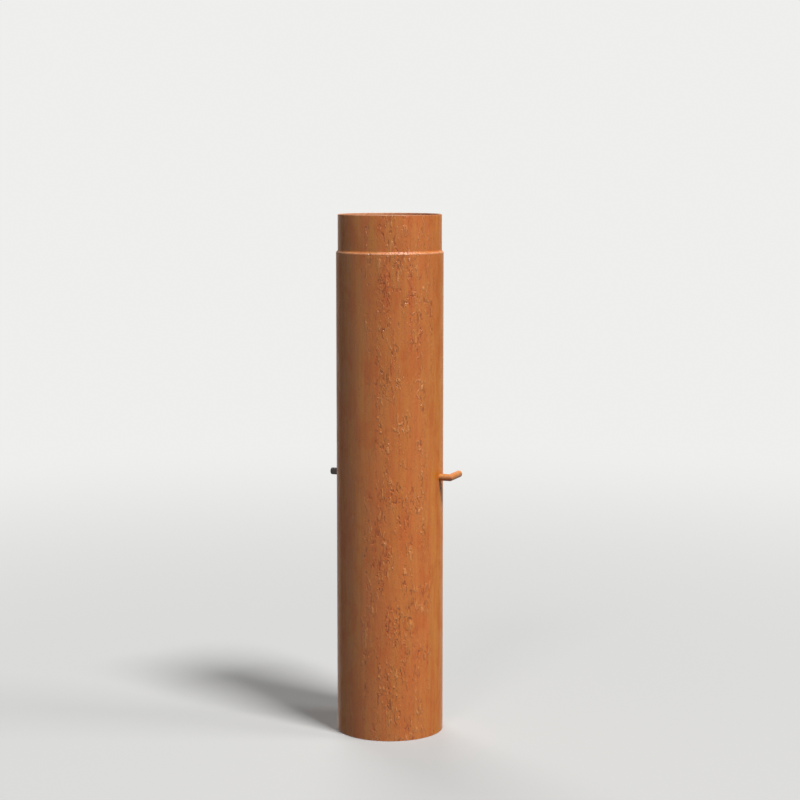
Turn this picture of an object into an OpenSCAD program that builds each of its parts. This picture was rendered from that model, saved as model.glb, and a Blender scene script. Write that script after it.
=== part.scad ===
// Stove pipe with a throttle damper.
// The pipe stands on its plain lower end, and the spigot at its upper end goes inside the next pipe.
// Origin: centre of the lower rim. +Z runs up the pipe, and +X runs along the damper rod to its handle.

/* [Pipe] */
// Overall length, from the lower rim to the top of the spigot
pipe_length = 750; // [500:5:1000]
// Bore of the plain lower end, which takes the spigot of the pipe below
pipe_bore = 150; // [120:0.5:200]
// Thickness of the rolled sheet
wall = 2; // [1.5:0.1:2.4]
// Break on the cut edges of the sheet, along each face
edge_break = 0.4; // [0.1:0.1:0.7]

/* [Spigot] */
// Straight length of the spigot
spigot_length = 50; // [30:1:80]
// Radial gap left between the spigot and the bore of the next pipe
spigot_gap = 0.5; // [0.2:0.1:0.8]
// Length of the shoulder that is swaged between the body and the spigot
shoulder_length = 5; // [4.8:0.2:12]

/* [Damper rod] */
// Height of the rod's axis above the lower rim
rod_height = 375; // [150:5:500]
// Diameter of the rod
rod_d = 10; // [8:0.5:14]
// Radial clearance of the rod in the holes through the wall
rod_clearance = 0.25; // [0.1:0.05:0.5]
// Length of the stub that stands out of the wall opposite the handle
stub_length = 15; // [8:0.5:30]
// Distance from the wall to the centreline of the handle
handle_standoff = 15.2; // [12:0.2:30]
// Reach of the handle, from the rod's axis to the handle's tip
handle_length = 40; // [25:0.5:80]
// Rounding on the two ends of the rod
rod_end_r = 2; // [0.5:0.5:3.5]

/* [Damper plate] */
// Thickness of the plate
plate_t = 2; // [1.5:0.1:4]
// Gap between the rim of the plate and the bore, all round
plate_gap = 2.5; // [1:0.25:8]
// Distance between the two screws that hold the plate on the rod
screw_pitch = 80; // [40:5:110]
// Nominal diameter of the screws
screw_d = 5; // [3:1:6]
// Width across the flats of the screw heads
screw_head_af = 8; // [6:0.5:10]
// Height of the screw heads
screw_head_h = 3.5; // [2:0.5:5]

/* [Hidden] */
$fn = 128;

// Weathering steel, and the duller steel inside
patina = [0.72, 0.43, 0.25];
rod_patina = [0.70, 0.42, 0.25];
scaled_steel = [0.36, 0.29, 0.25];
screw_steel = [0.50, 0.49, 0.47];

// Through cuts run this far past the material
overcut = 1;

// Pipe radii and heights
bore_r = pipe_bore / 2;
body_r = bore_r + wall;
spigot_r = bore_r - spigot_gap;
spigot_base_z = pipe_length - spigot_length;
body_top_z = spigot_base_z - shoulder_length;

// The shoulder is two equal bends of the sheet, tangent to each other and to the straight walls
shoulder_step = body_r - spigot_r;
shoulder_bend_r = (shoulder_length^2 + shoulder_step^2) / (4 * shoulder_step);
shoulder_angle = asin(shoulder_length / (2 * shoulder_bend_r));
body_bend = [body_r - shoulder_bend_r, body_top_z];
spigot_bend = [spigot_r + shoulder_bend_r, spigot_base_z];
bend_steps = 8;

// Rod, measured from its axis and the pipe's centre
rod_r = rod_d / 2;
stub_end_x = -(body_r + stub_length);
handle_x = body_r + handle_standoff;

// The plate lies on a flat that is cut down to the rod's axis
plate_r = bore_r - plate_gap;
flat_half_length = plate_r + plate_gap / 2;

// Screws pass the plate with play, and end short of the rod's underside
screw_hole_play = 0.25;
thread_clearance = 0.05;
screw_end_gap = 0.5;
screw_depth = rod_r - screw_end_gap;

// Points of an arc about centre, from one angle to another, that leaves out its first point
function arc(centre, r, from, to) = [
    for (i = [1 : bend_steps])
        let (t = from + (to - from) * i / bend_steps)
        centre + r * [cos(t), sin(t)]
];

// Section of the wall: up the outside from the lower rim, over the top rim and back down the inside
pipe_section = concat(
    [[body_r - edge_break, 0], [body_r, edge_break], [body_r, body_top_z]],
    arc(body_bend, shoulder_bend_r, 0, shoulder_angle),
    arc(spigot_bend, shoulder_bend_r, 180 + shoulder_angle, 180),
    [[spigot_r, pipe_length - edge_break], [spigot_r - edge_break, pipe_length]],
    [[spigot_r - wall + edge_break, pipe_length], [spigot_r - wall, pipe_length - edge_break]],
    [[spigot_r - wall, spigot_base_z]],
    arc(spigot_bend, shoulder_bend_r + wall, 180, 180 + shoulder_angle),
    arc(body_bend, shoulder_bend_r - wall, shoulder_angle, 0),
    [[bore_r, edge_break], [bore_r + edge_break, 0]]
);

// Puts what is drawn along +Z on the rod's axis, along +X
module on_rod_axis() {
    translate([0, 0, rod_height]) rotate([0, 90, 0]) children();
}

// Bar along +Z with a rounded free end. Its foot runs past the elbow, to be cut to the mitre.
module rounded_bar(length) {
    rotate_extrude() {
        translate([0, -rod_d]) square([rod_r, rod_d + length - rod_end_r]);
        square([rod_r - rod_end_r, length]);
        translate([rod_r - rod_end_r, length - rod_end_r]) circle(rod_end_r);
    }
}

// Block with one face on the mitre: the plane through the elbow at 45 degrees to shaft and handle
module beside_mitre(far_corners) {
    translate([handle_x, 0, rod_height - rod_d]) linear_extrude(2 * rod_d)
        polygon(concat([[2 * rod_d, -2 * rod_d], [-2 * rod_d, 2 * rod_d]], far_corners));
}

// Does the same thing at each screw: at the plate's lower face, where the screw crosses the rod
module at_screw(side) {
    translate([side * screw_pitch / 2, 0, rod_height]) children();
}

// Rolled and welded tube with a swaged spigot, and a hole on each side for the damper rod
module pipe() {
    color(patina) difference() {
        rotate_extrude() polygon(pipe_section);
        on_rod_axis() translate([0, 0, -body_r - overcut])
            cylinder(r = rod_r + rod_clearance, h = 2 * (body_r + overcut));
    }
}

// Two lengths of bar, mitred at the elbow and welded: the shaft with its stub, and the handle
module mitred_bar() {
    shaft_length = handle_x - stub_end_x;
    intersection() {
        translate([handle_x, 0, rod_height]) rotate([0, -90, 0]) rounded_bar(shaft_length);
        beside_mitre([[-2 * shaft_length, 2 * rod_d], [-2 * shaft_length, -2 * rod_d]]);
    }
    intersection() {
        translate([handle_x, 0, rod_height]) rotate([-90, 0, 0]) rounded_bar(handle_length);
        beside_mitre([[-2 * rod_d, 2 * handle_length], [2 * rod_d, 2 * handle_length]]);
    }
}

// The mitred bar, with a flat and two tapped holes for the plate
module damper_rod() {
    color(rod_patina) difference() {
        mitred_bar();
        translate([-flat_half_length, -rod_d, rod_height]) cube([2 * flat_half_length, 2 * rod_d, rod_d]);
        for (side = [-1, 1])
            at_screw(side) translate([0, 0, -rod_d])
                cylinder(d = screw_d + 2 * thread_clearance, h = 2 * rod_d);
    }
}

// Round disc that closes the pipe when it lies level
module damper_plate() {
    color(scaled_steel) difference() {
        translate([0, 0, rod_height]) cylinder(r = plate_r, h = plate_t);
        for (side = [-1, 1])
            at_screw(side) translate([0, 0, -overcut])
                cylinder(d = screw_d + 2 * screw_hole_play, h = plate_t + 2 * overcut);
    }
}

// Hexagon head on the plate, with its shank down in the rod
module plate_screw(side) {
    color(screw_steel) at_screw(side) {
        translate([0, 0, plate_t]) cylinder(d = screw_head_af / cos(30), h = screw_head_h, $fn = 6);
        translate([0, 0, -screw_depth]) cylinder(d = screw_d, h = screw_depth + plate_t);
    }
}

pipe();
damper_rod();
damper_plate();
plate_screw(-1);  // plate_screw_left
plate_screw(1);  // plate_screw_right
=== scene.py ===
from math import asin, cos, pi, radians, sin

import bmesh
import bpy
from mathutils import Matrix, Vector


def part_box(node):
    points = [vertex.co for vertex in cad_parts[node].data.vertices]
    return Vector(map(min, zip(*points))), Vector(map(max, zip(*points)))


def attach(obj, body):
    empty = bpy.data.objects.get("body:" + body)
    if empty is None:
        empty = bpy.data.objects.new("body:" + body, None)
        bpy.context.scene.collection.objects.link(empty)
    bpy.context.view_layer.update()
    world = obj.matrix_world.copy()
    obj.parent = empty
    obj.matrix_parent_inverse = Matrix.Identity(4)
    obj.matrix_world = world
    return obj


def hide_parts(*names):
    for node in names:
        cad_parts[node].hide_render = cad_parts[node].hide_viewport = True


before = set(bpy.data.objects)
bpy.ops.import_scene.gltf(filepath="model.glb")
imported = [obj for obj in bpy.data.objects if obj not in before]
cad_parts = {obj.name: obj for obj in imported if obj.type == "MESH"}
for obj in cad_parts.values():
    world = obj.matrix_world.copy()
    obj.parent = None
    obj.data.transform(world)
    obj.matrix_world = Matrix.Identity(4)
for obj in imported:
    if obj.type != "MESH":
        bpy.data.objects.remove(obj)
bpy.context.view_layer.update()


# ---------------------------------------------------------------------------
# Camera
# A long lens stands about 3 m back, a little above the pipe's top, and looks slightly down on it.
# It stands round towards the side that the handle is on, and the handle points away from it.
# ---------------------------------------------------------------------------
camera_azimuth = radians(21.18)
camera_distance = 2.9043
camera_height = 0.8262
camera_tilt = radians(6.738)
camera_pan = radians(0.287)
lens_length = 91.33
film_width = 36.0

camera = bpy.data.objects.new("camera", bpy.data.cameras.new("camera"))
camera.data.lens = lens_length
camera.data.sensor_width = film_width
camera_x = camera_distance * sin(camera_azimuth)
camera_y = -camera_distance * cos(camera_azimuth)
camera.location = (camera_x, camera_y, camera_height)
camera.rotation_euler = (pi / 2 - camera_tilt, 0, camera_azimuth - camera_pan)
bpy.context.scene.collection.objects.link(camera)
bpy.context.scene.camera = camera


# ---------------------------------------------------------------------------
# Pipe
# One sheet of 2 mm weathering steel, rolled to a tube and welded along its back.
# Its upper end is swaged in to the spigot, and a hole on each side takes the damper rod.
# ---------------------------------------------------------------------------
pipe_low, pipe_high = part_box("pipe")
body_r = (pipe_high.y - pipe_low.y) / 2
pipe_top = pipe_high.z
wall = 0.002
edge_round = 0.0004

spigot_length = 0.050
spigot_step = 0.0025
spigot_r = body_r - spigot_step
spigot_base_z = pipe_top - spigot_length
shoulder_length = 0.005
body_top_z = spigot_base_z - shoulder_length

rod_low, rod_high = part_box("damper_rod")
rod_r = (rod_high.z - rod_low.z) / 2
rod_z = (rod_high.z + rod_low.z) / 2
rod_clearance = 0.00025

# Paler rust is painted on the rims, and down to this depth inside the top one: wear, with a painted
# reflection of light along these edges. It is also painted on the crest, which is this far up the shoulder,
# as a painted highlight.
lip_reflection_depth = 0.004
highlight_crest_rise = 0.0015

edge_steps = 5
shoulder_steps = 12
turn_steps = 288
tolerance = 1e-6


def new_piece(name, bm):
    """Makes an object at the origin from a bmesh, with smooth faces that point outwards."""
    bmesh.ops.remove_doubles(bm, verts=bm.verts, dist=tolerance)
    bmesh.ops.recalc_face_normals(bm, faces=bm.faces)
    mesh = bpy.data.meshes.new(name)
    bm.to_mesh(mesh)
    bm.free()
    mesh.shade_smooth()
    piece = bpy.data.objects.new(name, mesh)
    bpy.context.scene.collection.objects.link(piece)
    return piece


def turned(outline, steps):
    """Turns a closed outline of points a full turn about the pipe's axis."""
    bm = bmesh.new()
    verts = [bm.verts.new(point) for point in outline]
    edges = [bm.edges.new(pair) for pair in zip(verts, verts[1:] + verts[:1])]
    bmesh.ops.spin(
        bm,
        geom=verts + edges,
        cent=(0, 0, 0),
        axis=(0, 0, 1),
        angle=2 * pi,
        steps=steps,
        use_merge=True,
        use_duplicate=False,
    )
    return bm


def arc(centre, radius, start, end, steps):
    """Points of an arc in the XZ plane, from one angle to another."""
    cx, cz = centre
    angles = [start + (end - start) * i / steps for i in range(steps + 1)]
    return [(cx + radius * cos(a), 0, cz + radius * sin(a)) for a in angles]


def pipe_outline():
    """The wall's section: up the outside, over the top rim and down the inside.
    The shoulder is two equal bends of the sheet, tangent to each other and to the straight walls."""
    bend_r = (shoulder_length**2 + spigot_step**2) / (4 * spigot_step)
    bend = asin(shoulder_length / (2 * bend_r))
    body_bend = (body_r - bend_r, body_top_z)
    spigot_bend = (spigot_r + bend_r, spigot_base_z)
    bore_r = body_r - wall
    spigot_bore_r = spigot_r - wall
    e = edge_round

    outside = arc((body_r - e, e), e, -pi / 2, 0, edge_steps)
    outside += arc(body_bend, bend_r, 0, bend, shoulder_steps)
    outside += arc(spigot_bend, bend_r, pi + bend, pi, shoulder_steps)[1:]
    outside += arc((spigot_r - e, pipe_top - e), e, 0, pi / 2, edge_steps)

    inside = arc((spigot_bore_r + e, pipe_top - e), e, pi / 2, pi, edge_steps)
    inside.append((spigot_bore_r, 0, pipe_top - lip_reflection_depth))
    inside += arc(spigot_bend, bend_r + wall, pi, pi + bend, shoulder_steps)
    inside += arc(body_bend, bend_r - wall, bend, 0, shoulder_steps)[1:]
    inside += arc((bore_r + e, e), e, pi, 3 * pi / 2, edge_steps)
    return outside + inside


def cylinder(radius, length, place, segments=64):
    """A solid cylinder, centred on its place and along its Z axis. Six segments make it a hexagon bar."""
    bm = bmesh.new()
    bmesh.ops.create_cone(
        bm,
        cap_ends=True,
        segments=segments,
        radius1=radius,
        radius2=radius,
        depth=length,
        matrix=place,
    )
    return bm


def cut_away(piece, cutter_mesh):
    """Takes a cutter's shape out of a piece."""
    cutter = new_piece("cutter", cutter_mesh)
    cut = piece.modifiers.new("cut", "BOOLEAN")
    cut.operation = "DIFFERENCE"
    cut.solver = "EXACT"
    cut.object = cutter
    graph = bpy.context.evaluated_depsgraph_get()
    piece.data = bpy.data.meshes.new_from_object(piece.evaluated_get(graph))
    piece.modifiers.clear()
    bpy.data.objects.remove(cutter)


pipe = new_piece("pipe_wall", turned(pipe_outline(), turn_steps))
through_both_walls = 3 * body_r
on_rod_axis = Matrix.Translation((0, 0, rod_z)) @ Matrix.Rotation(pi / 2, 4, "Y")
cut_away(pipe, cylinder(rod_r + rod_clearance, through_both_walls, on_rod_axis))
pipe.data.set_sharp_from_angle(angle=radians(40))


def new_finish(name):
    """A material to build up, with its node tree and its shader."""
    material = bpy.data.materials.new(name)
    material.use_nodes = True
    return material, material.node_tree, material.node_tree.nodes["Principled BSDF"]


def feed(tree, socket, value):
    """Links a socket to another node's output, or sets it to a number or colour."""
    if isinstance(value, bpy.types.NodeSocket):
        tree.links.new(value, socket)
    elif socket.type == "RGBA":
        socket.default_value = (*value, 1)
    else:
        socket.default_value = value


def maths(tree, operation, *values, clamp=False):
    """One step of arithmetic on numbers or sockets."""
    node = tree.nodes.new("ShaderNodeMath")
    node.operation = operation
    node.use_clamp = clamp
    for socket, value in zip(node.inputs, values):
        feed(tree, socket, value)
    return node.outputs["Value"]


def times(tree, a, b):
    """The product of two values."""
    return maths(tree, "MULTIPLY", a, b)


def plus(tree, base, extra, share):
    """The base plus that share of the extra value."""
    return maths(tree, "MULTIPLY_ADD", extra, share, base)


def eased(tree, value, start, end, low=0.0, high=1.0, kind="SMOOTHSTEP"):
    """Goes from low to high while the value goes from start to end, and stays level beyond them."""
    node = tree.nodes.new("ShaderNodeMapRange")
    node.interpolation_type = kind
    for socket, entry in zip(node.inputs, (value, start, end, low, high)):
        feed(tree, socket, entry)
    return node.outputs["Result"]


def own_place(tree):
    """The piece's own coordinates, in metres."""
    node = tree.nodes.get("own_place") or tree.nodes.new("ShaderNodeTexCoord")
    node.name = "own_place"
    return node.outputs["Object"]


def own_xyz(tree):
    """The piece's own X, Y and Z, as three sockets."""
    node = tree.nodes.new("ShaderNodeSeparateXYZ")
    feed(tree, node.inputs["Vector"], own_place(tree))
    return node.outputs


def noise(tree, size, detail, roughness=0.5, distortion=0.0, shift=0.0, longer=(1, 1, 1)):
    """Cloudy noise. Its features are that size across, in metres, and so many times longer on each axis."""
    mapping = tree.nodes.new("ShaderNodeMapping")
    mapping.inputs["Scale"].default_value = [1 / (size * stretch) for stretch in longer]
    mapping.inputs["Location"].default_value = (shift, shift, shift)
    feed(tree, mapping.inputs["Vector"], own_place(tree))
    texture = tree.nodes.new("ShaderNodeTexNoise")
    texture.inputs["Scale"].default_value = 1.0
    texture.inputs["Detail"].default_value = detail
    texture.inputs["Roughness"].default_value = roughness
    texture.inputs["Distortion"].default_value = distortion
    feed(tree, texture.inputs["Vector"], mapping.outputs["Vector"])
    return texture.outputs["Fac"]


def ramped(tree, value, stops):
    """The colour for a value, blended between stops that each hold a position and a colour."""
    node = tree.nodes.new("ShaderNodeValToRGB")
    elements = node.color_ramp.elements
    for _ in stops[2:]:
        elements.new(0.5)
    for element, (position, colour) in zip(elements, stops):
        element.position = position
        element.color = (*colour, 1)
    feed(tree, node.inputs["Fac"], value)
    return node.outputs["Color"]


def blended(tree, kind, colour, other, amount):
    """Changes a colour by another one, by that amount from 0 to 1."""
    node = tree.nodes.new("ShaderNodeMix")
    node.data_type = "RGBA"
    node.blend_type = kind
    sockets = {socket.identifier: socket for socket in (*node.inputs, *node.outputs)}
    feed(tree, sockets["Factor_Float"], amount)
    feed(tree, sockets["A_Color"], colour)
    feed(tree, sockets["B_Color"], other)
    return sockets["Result_Color"]


def tinted(tree, colour, tint, amount):
    """The colour times a tint."""
    return blended(tree, "MULTIPLY", colour, tint, amount)


def coated(tree, colour, coat, amount):
    """The colour with a coat of another one over it."""
    return blended(tree, "MIX", colour, coat, amount)


def add_relief(tree, shader, height, depth):
    """Gives a surface relief: where the height is 1 it stands that depth proud, in metres."""
    bump = tree.nodes.new("ShaderNodeBump")
    bump.inputs["Distance"].default_value = depth
    feed(tree, bump.inputs["Height"], height)
    feed(tree, shader.inputs["Normal"], bump.outputs["Normal"])


def rust_patina(name, streak_axis, tone, weather_side=(0, 0, 0), marks=None):
    """A tight skin of rust round a middle tone. Its streaks run along one axis of the piece, and its flakes
    crowd towards the weather side and opposite it. A function for marks adds what only one piece has."""
    material, tree, shader = new_finish(name)

    def drawn_out(stretch):
        """How many times longer a pattern is along X, Y and Z."""
        return [1 + (stretch - 1) * along for along in streak_axis]

    # Broad areas, from ochre over the middle tone to a redder one where the weather reaches
    side = tree.nodes.new("ShaderNodeVectorMath")
    side.operation = "DOT_PRODUCT"
    feed(tree, side.inputs[0], own_place(tree))
    feed(tree, side.inputs[1], weather_side)
    exposed = times(tree, side.outputs["Value"], side.outputs["Value"])
    clouds = noise(tree, size=0.020, detail=3, roughness=0.55, shift=2.4, longer=drawn_out(16))
    areas = plus(tree, clouds, exposed, share=0.5)
    gains = ((0.64, (1.06, 1.15, 1.12)), (0.80, (1.0, 1.0, 1.0)), (0.96, (1.04, 0.98, 1.0)))
    stops = [(position, [g * t for g, t in zip(gain, tone)]) for position, gain in gains]
    colour = ramped(tree, areas, stops)

    # Redder bands, and darker streaks about half as wide
    bands = noise(tree, size=0.007, detail=3, roughness=0.55, shift=3.1, longer=drawn_out(16))
    colour = tinted(tree, colour, tint=(1.0, 0.86, 0.84), amount=eased(tree, bands, 0.40, 0.60))
    streaks = noise(
        tree, size=0.0034, detail=3, roughness=0.55, distortion=0.2, shift=5.7, longer=drawn_out(16)
    )
    colour = tinted(tree, colour, tint=(0.93, 0.90, 0.86), amount=eased(tree, streaks, 0.42, 0.64))

    # Patches where the rust has lifted: dark pits, and raised flakes of an oranger rust. The pits' darkness
    # is partly painted shade, and the flakes' pale coat is partly painted glints.
    flakes = noise(tree, size=0.0042, detail=1, distortion=1.2, shift=1.3, longer=drawn_out(3.2))
    clusters = noise(tree, size=0.014, detail=2, shift=8.4, longer=drawn_out(3))
    patches = times(tree, eased(tree, clusters, 0.40, 0.58), eased(tree, areas, 0.72, 0.88))
    pits = times(tree, eased(tree, flakes, 0.42, 0.30), patches)
    plates = times(tree, eased(tree, flakes, 0.57, 0.68), patches)
    colour = tinted(tree, colour, tint=(0.74, 0.62, 0.58), amount=pits)
    flake_coat_and_glint = eased(tree, plates, 0.0, 1.0, high=0.5)
    colour = coated(tree, colour, coat=(0.78, 0.34, 0.11), amount=flake_coat_and_glint)

    # Fine grain, dark specks, and broad blooms of a redder rust
    grain = noise(tree, size=0.0010, detail=2, roughness=0.6, shift=2.2, longer=drawn_out(2))
    colour = tinted(tree, colour, tint=(0.94, 0.92, 0.90), amount=eased(tree, grain, 0.40, 0.60))
    specks = noise(tree, size=0.0018, detail=4, roughness=0.70, shift=9.1, longer=drawn_out(1.3))
    speckled = eased(tree, specks, 0.54, 0.66)
    colour = tinted(tree, colour, tint=(0.82, 0.70, 0.66), amount=speckled)
    blooms = noise(
        tree, size=0.024, detail=4, roughness=0.62, distortion=0.5, shift=12.7, longer=drawn_out(1.8)
    )
    colour = tinted(tree, colour, tint=(0.94, 0.83, 0.80), amount=eased(tree, blooms, 0.48, 0.62))

    # Relief, as shares of a flake's height
    height = plus(tree, plates, pits, share=-1.0)
    height = plus(tree, height, streaks, share=0.25)
    height = plus(tree, height, grain, share=0.16)
    height = plus(tree, height, speckled, share=-0.20)
    if marks is not None:
        colour, height = marks(tree, colour, height, specks)
    feed(tree, shader.inputs["Base Color"], colour)
    add_relief(tree, shader, height, depth=0.0006)

    # The sheen is strongest where the surface faces the viewer, and the blooms are a little duller
    facing = tree.nodes.new("ShaderNodeLayerWeight").outputs["Facing"]
    feed(tree, shader.inputs["Specular IOR Level"], eased(tree, facing, 0.10, 0.62, 0.62, 0.04))
    feed(tree, shader.inputs["Roughness"], eased(tree, blooms, 0.35, 0.65, 0.29, 0.37))
    return material


def sheet_marks(tree, colour, height, specks):
    """What only the sheet has: a dressed weld down its back, painted light that pales it towards the foot,
    and a painted highlight on the crest.
    """
    sheet_x, sheet_y, sheet_z = own_xyz(tree)

    # The weld's bead is 3 mm wide, with ripples across it
    from_seam = maths(tree, "ABSOLUTE", sheet_x)
    bead = times(tree, eased(tree, from_seam, 0.0019, 0.0011), eased(tree, sheet_y, 0.02, 0.04))
    ripples = noise(tree, size=0.0022, detail=1, shift=4.4, longer=(1, 1, 0.5))
    bead_height = times(tree, bead, eased(tree, ripples, 0.3, 0.7, 0.2, 0.6))
    colour = tinted(tree, colour, tint=(0.80, 0.74, 0.72), amount=bead)
    height = plus(tree, height, bead_height, share=1.0)

    # Painted light: the rust is painted slightly paler from under the shoulder down towards the foot, where
    # less of the lamps' sheen reaches
    colour = tinted(tree, colour, tint=(1.16, 1.15, 1.14), amount=eased(tree, sheet_z, 0.68, 0.20))

    # Painted highlight: the crest is painted a paler rust, less so in its specks
    from_crest = maths(tree, "ABSOLUTE", maths(tree, "SUBTRACT", sheet_z, body_top_z + highlight_crest_rise))
    outside_specks = eased(tree, specks, 0.60, 0.46, 0.15, 0.6)
    painted_crest_highlight = times(tree, eased(tree, from_crest, 0.0020, 0.0004), outside_specks)
    colour = coated(tree, colour, coat=(0.72, 0.37, 0.22), amount=painted_crest_highlight)
    return colour, height


sheet_rust = (0.570, 0.188, 0.030)
# Paler rust for the rims and the top lip: wear, with a painted reflection of light there
edge_wear_and_reflection = (0.64, 0.30, 0.16)
edge_wear_and_reflection_slot = 1

# Divided by the radius, it measures 1 where the wall faces the weather, and 0 a quarter turn away
weather_angle = radians(34)
weather_side = Vector((sin(weather_angle), -cos(weather_angle), 0)) / body_r

pipe.data.materials.append(rust_patina("weathered_sheet", (0, 0, 1), sheet_rust, weather_side, sheet_marks))
pipe.data.materials.append(rust_patina("edge_wear_and_reflection", (0, 0, 1), edge_wear_and_reflection))
for face in pipe.data.polygons:
    on_rim = face.center.z > pipe_top - edge_round or face.center.z < edge_round
    in_the_bore = face.center.xy.length < spigot_r - wall / 2
    on_inner_lip = in_the_bore and face.center.z > pipe_top - lip_reflection_depth
    if on_rim or on_inner_lip:
        face.material_index = edge_wear_and_reflection_slot
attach(pipe, "pipe_body")
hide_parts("pipe")


# ---------------------------------------------------------------------------
# Damper rod
# Two lengths of 10 mm round bar of the same steel, mitred and welded: a long one through both walls of the
# pipe, and a short one that is the handle. A flat on it carries the damper plate inside the pipe.
# The handle's side has rusted, and dark grey mill scale is left on the rest, painted near black as painted
# shade.
# ---------------------------------------------------------------------------
rod_left = rod_low.x
handle_x = rod_high.x - rod_r
handle_length = rod_high.y
rod_end_round = 0.0019
weld_round = 0.0004
plate_gap = 0.0025
plate_r = body_r - wall - plate_gap
flat_length = 2 * plate_r + plate_gap
plate_screws = (-0.040, 0.040)
tapped_hole_r = 0.00255
through_rod = 4 * rod_r


def rounded(bm, edges, size, segments):
    """Rounds edges over, to that radius and in that many flats."""
    bmesh.ops.bevel(
        bm,
        geom=edges,
        offset=size,
        offset_type="OFFSET",
        segments=segments,
        profile=0.5,
        affect="EDGES",
        clamp_overlap=True,
        material=-1,
    )


def pushed_out(bm, rim):
    """Extrudes a rim where it is, and gives the new rim's vertices and edges, to be moved."""
    made = bmesh.ops.extrude_edge_only(bm, edges=rim)["geom"]
    verts = [item for item in made if isinstance(item, bmesh.types.BMVert)]
    edges = [item for item in made if isinstance(item, bmesh.types.BMEdge)]
    return verts, edges


def mitred_bar():
    """The bar's rim is pushed along the shaft to the mitre, then along the handle."""
    bm = bmesh.new()
    stub_end = Matrix.Translation((rod_left, 0, rod_z)) @ Matrix.Rotation(pi / 2, 4, "Y")
    bmesh.ops.create_circle(bm, cap_ends=True, segments=64, radius=rod_r, matrix=stub_end)
    stub_rim = list(bm.edges)

    verts, mitre_rim = pushed_out(bm, stub_rim)
    bmesh.ops.translate(bm, verts=verts, vec=(handle_x - rod_left, 0, 0))

    # At the elbow, what is further along the handle moves back along the shaft by as much: 45 degrees
    to_elbow = Matrix.Translation((-handle_x, 0, -rod_z))
    mitre = Matrix.Identity(4)
    mitre[0][1] = -1
    bmesh.ops.transform(bm, matrix=mitre, space=to_elbow, verts=verts)

    verts, tip_rim = pushed_out(bm, mitre_rim)
    bmesh.ops.scale(bm, vec=(1, 0, 1), verts=verts)
    bmesh.ops.translate(bm, verts=verts, vec=(0, handle_length, 0))
    bmesh.ops.contextual_create(bm, geom=tip_rim)

    rounded(bm, stub_rim, rod_end_round, segments=6)
    rounded(bm, tip_rim, rod_end_round, segments=6)
    rounded(bm, mitre_rim, weld_round, segments=6)
    return bm


# The flat is cut down to the rod's axis, and the tapped holes go through what is left
rod = new_piece("damper_bar", mitred_bar())
over_axis = Matrix.Translation((0, 0, rod_z + rod_r))
flat_size = Matrix.Diagonal((flat_length, through_rod, 2 * rod_r, 1))
flat_cutter = bmesh.new()
bmesh.ops.create_cube(flat_cutter, size=1.0, matrix=over_axis @ flat_size)
cut_away(rod, flat_cutter)
for x in plate_screws:
    cut_away(rod, cylinder(tapped_hole_r, through_rod, Matrix.Translation((x, 0, rod_z)), segments=32))
rod.data.set_sharp_from_angle(angle=radians(50))

bar_rust = (0.54, 0.20, 0.055)
# The scale is painted near black: its grey is the scale's own, its darkness is painted shade
scale_and_shade = (0.026, 0.020, 0.017)
scale_and_shade_end = body_r - 0.0005
scale_and_shade_fade = 0.001


def bar_marks(tree, colour, height, specks):
    """What only the bar has: dark grey mill scale from its stub to just short of the outside on the
    handle's side, painted near black as painted shade.
    """
    scale_and_shade_mask = eased(tree, own_xyz(tree)["X"], scale_and_shade_end, scale_and_shade_end - scale_and_shade_fade)
    unrusted = eased(tree, specks, 0.62, 0.54, 0.75, 1.0)
    colour = coated(tree, colour, coat=scale_and_shade, amount=times(tree, scale_and_shade_mask, unrusted))
    return colour, height


rod.data.materials.append(rust_patina("weathered_bar", (1, 0, 0), bar_rust, marks=bar_marks))
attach(rod, "damper")
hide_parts("damper_rod")


# ---------------------------------------------------------------------------
# Damper plate
# A round disc cut from 2 mm plate, with dark mill scale and some rust. It lies on the rod's flat inside
# the pipe. Two holes in it pass the screws.
# ---------------------------------------------------------------------------
plate_t = 0.002
plate_rim_round = 0.0003
screw_hole_r = 0.00275
through_plate = 4 * plate_t


def scaled_plate(name):
    """Dark mill scale, with duller rust where it has flaked."""
    material, tree, shader = new_finish(name)
    flaking = noise(tree, size=1 / 90, detail=5, roughness=0.62)
    black_scale = (0.40, (0.060, 0.045, 0.038))
    brown_scale = (0.54, (0.110, 0.072, 0.052))
    rust = (0.66, (0.260, 0.105, 0.040))
    feed(tree, shader.inputs["Base Color"], ramped(tree, flaking, (black_scale, brown_scale, rust)))
    feed(tree, shader.inputs["Metallic"], 0.2)
    feed(tree, shader.inputs["Roughness"], eased(tree, flaking, 0.4, 0.66, 0.42, 0.80, kind="LINEAR"))
    add_relief(tree, shader, flaking, depth=0.0002)
    return material


plate_mesh = cylinder(plate_r, plate_t, Matrix.Translation((0, 0, rod_z + plate_t / 2)), segments=192)
rims = [edge for edge in plate_mesh.edges if abs(edge.verts[0].co.z - edge.verts[1].co.z) < tolerance]
rounded(plate_mesh, rims, plate_rim_round, segments=3)
plate = new_piece("damper_disc", plate_mesh)
for x in plate_screws:
    cut_away(plate, cylinder(screw_hole_r, through_plate, Matrix.Translation((x, 0, rod_z)), segments=48))
plate.data.set_sharp_from_angle(angle=radians(40))
plate.data.materials.append(scaled_plate("scaled_plate"))
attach(plate, "damper")
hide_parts("damper_plate")


# ---------------------------------------------------------------------------
# Plate screws
# Two M5 hexagon-head screws of plain steel, gone dull. They go down through the plate into the rod.
# ---------------------------------------------------------------------------
head_across_flats = 0.008
head_corner_r = head_across_flats / 2 / cos(pi / 6)
head_height = 0.0035
head_round = 0.0005
seat_z = rod_z + plate_t
shank_r = 0.0025
shank_depth = 0.0045
shank_length = plate_t + shank_depth


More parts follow.
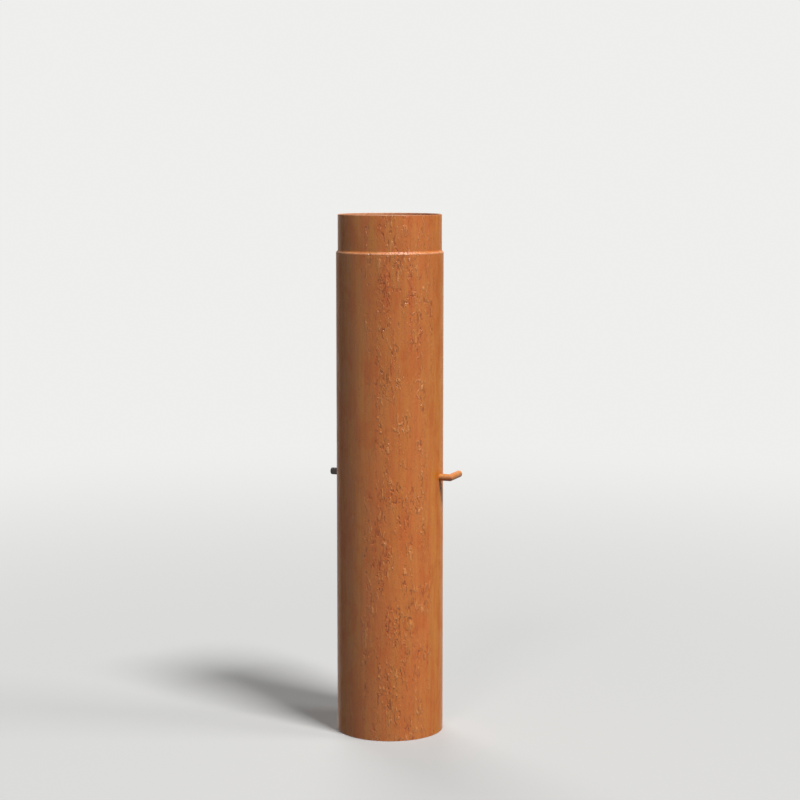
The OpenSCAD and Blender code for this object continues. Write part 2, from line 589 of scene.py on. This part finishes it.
def dull_steel(name):
    """Plain steel with a dull grey film and a few brown specks."""
    material, tree, shader = new_finish(name)
    specks = noise(tree, size=1 / 700, detail=3)
    grey_film = (0.50, (0.30, 0.29, 0.27))
    brown_speck = (0.68, (0.17, 0.10, 0.06))
    feed(tree, shader.inputs["Base Color"], ramped(tree, specks, (grey_film, brown_speck)))
    feed(tree, shader.inputs["Metallic"], 0.7)
    feed(tree, shader.inputs["Roughness"], 0.48)
    return material


screw_finish = dull_steel("dull_steel")
for x, side in zip(plate_screws, ("left", "right")):
    head = Matrix.Translation((x, 0, seat_z + head_height / 2)) @ Matrix.Rotation(pi / 2, 4, "Z")
    screw_mesh = cylinder(head_corner_r, head_height, head, segments=6)
    top_z = max(vert.co.z for vert in screw_mesh.verts)
    top_rim = [edge for edge in screw_mesh.edges if all(v.co.z > top_z - tolerance for v in edge.verts)]
    rounded(screw_mesh, top_rim, head_round, segments=2)
    bmesh.ops.create_cone(
        screw_mesh,
        cap_ends=True,
        segments=32,
        radius1=shank_r,
        radius2=shank_r,
        depth=shank_length,
        matrix=Matrix.Translation((x, 0, seat_z - shank_length / 2)),
    )
    screw = new_piece("screw_" + side, screw_mesh)
    screw.data.set_sharp_from_angle(angle=radians(35))
    screw.data.materials.append(screw_finish)
    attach(screw, "damper")
    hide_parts("plate_screw_" + side)


# ---------------------------------------------------------------------------
# Studio
# A pale matt floor that fades into a pale surround. Four soft lamps stand far off: the main one high up
# between the front and the handle's side, and weaker ones in front, on the handle's side and behind.
# ---------------------------------------------------------------------------
surround_colour = (0.86, 0.86, 0.85)
surround_light = 0.02
floor_radius = 30
floor_colour = (0.45, 0.45, 0.443)
floor_bounce = (0.095, 0.095, 0.095)
fade_start = 0.5
fade_end = 3.0
lamp_distance = 40.0


def viewing_rays(tree):
    """One for camera rays, and one for mirror and glass rays. All other rays carry light."""
    path = tree.nodes.new("ShaderNodeLightPath")
    glossy, through = path.outputs["Is Glossy Ray"], path.outputs["Is Transmission Ray"]
    return path.outputs["Is Camera Ray"], maths(tree, "ADD", glossy, through, clamp=True)


floor_mesh = bmesh.new()
bmesh.ops.create_circle(floor_mesh, cap_ends=True, segments=128, radius=floor_radius)
floor = new_piece("floor", floor_mesh)

# The floor looks pale, but sends little light back up
floor_paint, tree, paint = new_finish("floor_paint")
seen, mirrored = viewing_rays(tree)
looked_at = maths(tree, "ADD", seen, mirrored, clamp=True)
feed(tree, paint.inputs["Base Color"], coated(tree, floor_bounce, floor_colour, looked_at))
feed(tree, paint.inputs["Roughness"], 0.9)
feed(tree, paint.inputs["Specular IOR Level"], 0.0)

# It turns into the surround further out, and mirrors show only the surround
surround = tree.nodes.new("ShaderNodeEmission")
feed(tree, surround.inputs["Color"], surround_colour)
distance = tree.nodes.new("ShaderNodeVectorMath")
distance.operation = "LENGTH"
feed(tree, distance.inputs[0], own_place(tree))
far_off = times(tree, eased(tree, distance.outputs["Value"], fade_start, fade_end), seen)
fade = tree.nodes.new("ShaderNodeMixShader")
feed(tree, fade.inputs["Fac"], maths(tree, "ADD", far_off, mirrored, clamp=True))
feed(tree, fade.inputs[1], paint.outputs["BSDF"])
feed(tree, fade.inputs[2], surround.outputs["Emission"])
feed(tree, tree.nodes["Material Output"].inputs["Surface"], fade.outputs["Shader"])
floor.data.materials.append(floor_paint)

# The surround looks pale too, but gives little light of its own
world = bpy.data.worlds.new("surround")
bpy.context.scene.world = world
world.use_nodes = True
tree = world.node_tree
background = tree.nodes["Background"]
looked_at = maths(tree, "ADD", *viewing_rays(tree), clamp=True)
feed(tree, background.inputs["Color"], surround_colour)
feed(tree, background.inputs["Strength"], eased(tree, looked_at, 0.0, 1.0, surround_light, 1.0))


def soft_lamp(name, azimuth, elevation, size, power):
    """A square area lamp aimed at the middle of the pipe. Its angles are in degrees, round from the front
    towards the handle's side and up from level, its size is in metres and its power in watts."""
    azimuth, elevation = radians(azimuth), radians(elevation)
    away = Vector((cos(elevation) * sin(azimuth), -cos(elevation) * cos(azimuth), sin(elevation)))
    lamp = bpy.data.lights.new(name, "AREA")
    lamp.size = size
    lamp.energy = power
    holder = bpy.data.objects.new(name, lamp)
    holder.location = Vector((0, 0, pipe_top / 2)) + lamp_distance * away
    holder.rotation_euler = away.to_track_quat("Z", "Y").to_euler()
    bpy.context.scene.collection.objects.link(holder)


soft_lamp("key_lamp", azimuth=61.5, elevation=60, size=9.0, power=19700)
soft_lamp("front_lamp", azimuth=2, elevation=45, size=8.0, power=1600)
soft_lamp("side_lamp", azimuth=100, elevation=45, size=10.0, power=3600)
soft_lamp("back_lamp", azimuth=215, elevation=55, size=16.0, power=6000)

bpy.context.scene.view_settings.view_transform = "Standard"
